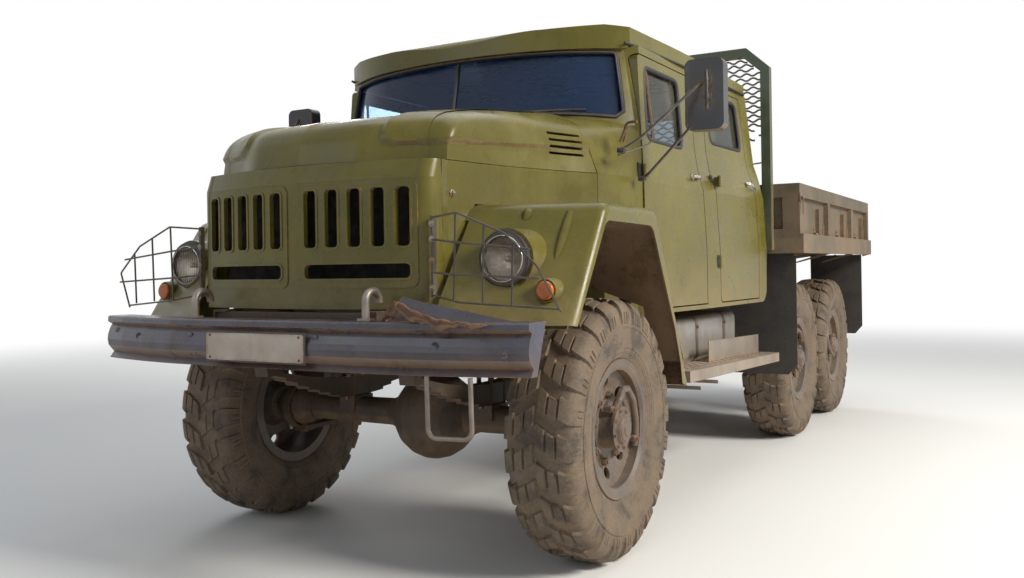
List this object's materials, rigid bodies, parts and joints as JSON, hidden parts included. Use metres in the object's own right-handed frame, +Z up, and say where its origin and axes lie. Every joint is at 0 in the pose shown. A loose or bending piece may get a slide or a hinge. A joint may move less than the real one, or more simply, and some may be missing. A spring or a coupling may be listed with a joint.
{
  "type": "six-wheel-drive crew-cab military cargo truck",
  "caption": "Olive all-wheel-drive truck with a rounded hood, slotted grille, crew cab, headboard rack and short steel bed; wheels, steering, doors, hood and tailgate move.",
  "frame": {"origin": "on the ground under the middle of the truck's box", "axes": "+X is the truck's left side, -Y is its front, +Z is up"},
  "size_m": [2.676, 6.424, 2.7],
  "materials": {
    "amber_lens": "amber lens",
    "bare_iron": "worn bare iron",
    "bed_steel": "green paint under brown dust",
    "black_plastic": "black plastic",
    "body_paint": "satin olive paint, worn",
    "bumper_paint": "grey-blue paint with rust",
    "cast_housing": "oily cast iron",
    "chassis_black": "dull black paint with mud",
    "dash_paint": "olive paint",
    "flap_rubber": "black rubber",
    "glass": "clear, dusty",
    "lamp_metal": "satin olive paint",
    "lens_glass": "fluted lamp glass",
    "rack_paint": "dark green paint",
    "radiator_core": "dark fins",
    "red_lens": "red lens",
    "rim_paint": "dark paint, dusty",
    "seat_cloth": "brown artificial leather",
    "step_steel": "worn steel",
    "tank_paint": "silver-grey paint, dusty",
    "tyre": "dusty rubber"
  },
  "bodies": {
    "chassis": {"bed_floor": "bed_steel", "bed_walls": "bed_steel", "bumper": "bumper_paint", "bumper_step": "bare_iron", "cab_glass": "glass", "cab_shell": "body_paint", "dashboard": "dash_paint", "driveline": "cast_housing", "engine_block": "cast_housing", "exhaust": "bare_iron", "fenders": "body_paint", "frame": "chassis_black", "front_axle": "chassis_black", "fuel_tank": "tank_paint", "grille": "body_paint", "headboard_rack": "rack_paint", "headlamp_lenses": "lens_glass", "headlamps": "lamp_metal", "hood_sides": "body_paint", "indicators": "amber_lens", "lamp_guards": "rack_paint", "leaf_springs": "chassis_black", "mirrors": "black_plastic", "mud_flaps": "flap_rubber", "radiator": "radiator_core", "rear_axles": "chassis_black", "roof": "body_paint", "running_boards": "step_steel", "seat_frames": "dash_paint", "seats": "seat_cloth", "steering_wheel": "black_plastic", "tail_lamps": "red_lens", "tow_hooks": "bare_iron"},
    "left_knuckle": {"knuckle_left": "chassis_black"},
    "right_knuckle": {"knuckle_right": "chassis_black"},
    "front_left_wheel": {"tyre_front_left": "tyre", "wheel_front_left": "rim_paint"},
    "front_right_wheel": {"tyre_front_right": "tyre", "wheel_front_right": "rim_paint"},
    "middle_left_wheel": {"tyre_middle_left": "tyre", "wheel_middle_left": "rim_paint"},
    "middle_right_wheel": {"tyre_middle_right": "tyre", "wheel_middle_right": "rim_paint"},
    "rear_left_wheel": {"tyre_rear_left": "tyre", "wheel_rear_left": "rim_paint"},
    "rear_right_wheel": {"tyre_rear_right": "tyre", "wheel_rear_right": "rim_paint"},
    "front_left_door": {"front_door_left": "body_paint", "front_door_glass_left": "glass"},
    "front_right_door": {"front_door_right": "body_paint", "front_door_glass_right": "glass"},
    "rear_left_door": {"rear_door_left": "body_paint", "rear_door_glass_left": "glass"},
    "rear_right_door": {"rear_door_right": "body_paint", "rear_door_glass_right": "glass"},
    "hood_lid": {"hood": "body_paint"},
    "tailgate_leaf": {"tailgate": "bed_steel"}
  },
  "joints": [
    {"name": "left_steer", "type": "hinge", "parent": "chassis", "child": "left_knuckle", "pos_m": [0.745, -2.168, 0.56], "axis": [0, 0, 1], "range_deg": [-28, 28]},
    {"name": "right_steer", "type": "hinge", "parent": "chassis", "child": "right_knuckle", "pos_m": [-0.745, -2.168, 0.56], "axis": [0, 0, 1], "range_deg": [-28, 28]},
    {"name": "front_left_spin", "type": "hinge", "parent": "left_knuckle", "child": "front_left_wheel", "pos_m": [0.91, -2.168, 0.56], "axis": [1, 0, 0], "continuous": true},
    {"name": "front_right_spin", "type": "hinge", "parent": "right_knuckle", "child": "front_right_wheel", "pos_m": [-0.91, -2.168, 0.56], "axis": [1, 0, 0], "continuous": true},
    {"name": "middle_left_spin", "type": "hinge", "parent": "chassis", "child": "middle_left_wheel", "pos_m": [0.91, 1.182, 0.56], "axis": [1, 0, 0], "continuous": true},
    {"name": "middle_right_spin", "type": "hinge", "parent": "chassis", "child": "middle_right_wheel", "pos_m": [-0.91, 1.182, 0.56], "axis": [1, 0, 0], "continuous": true},
    {"name": "rear_left_spin", "type": "hinge", "parent": "chassis", "child": "rear_left_wheel", "pos_m": [0.91, 2.432, 0.56], "axis": [1, 0, 0], "continuous": true},
    {"name": "rear_right_spin", "type": "hinge", "parent": "chassis", "child": "rear_right_wheel", "pos_m": [-0.91, 2.432, 0.56], "axis": [1, 0, 0], "continuous": true},
    {"name": "front_left_door_hinge", "type": "hinge", "parent": "chassis", "child": "front_left_door", "pos_m": [0.931, -1.568, 1.5], "axis": [0, 0, -1], "range_deg": [0, 65]},
    {"name": "front_right_door_hinge", "type": "hinge", "parent": "chassis", "child": "front_right_door", "pos_m": [-0.931, -1.568, 1.5], "axis": [0, 0, 1], "range_deg": [0, 65]},
    {"name": "rear_left_door_hinge", "type": "hinge", "parent": "chassis", "child": "rear_left_door", "pos_m": [1.008, -0.608, 1.5], "axis": [0, 0, -1], "range_deg": [0, 65]},
    {"name": "rear_right_door_hinge", "type": "hinge", "parent": "chassis", "child": "rear_right_door", "pos_m": [-1.008, -0.608, 1.5], "axis": [0, 0, 1], "range_deg": [0, 65]},
    {"name": "hood_hinge", "type": "hinge", "parent": "chassis", "child": "hood_lid", "pos_m": [0, -1.951, 1.99], "axis": [-1, 0, 0], "range_deg": [0, 50]},
    {"name": "tailgate_hinge", "type": "hinge", "parent": "chassis", "child": "tailgate_leaf", "pos_m": [0, 3.206, 1.456], "axis": [-1, 0, 0], "range_deg": [0, 90]}
  ],
  "couplings": [
    {"joint": "right_steer", "follows": "left_steer", "ratio": 1}
  ]
}
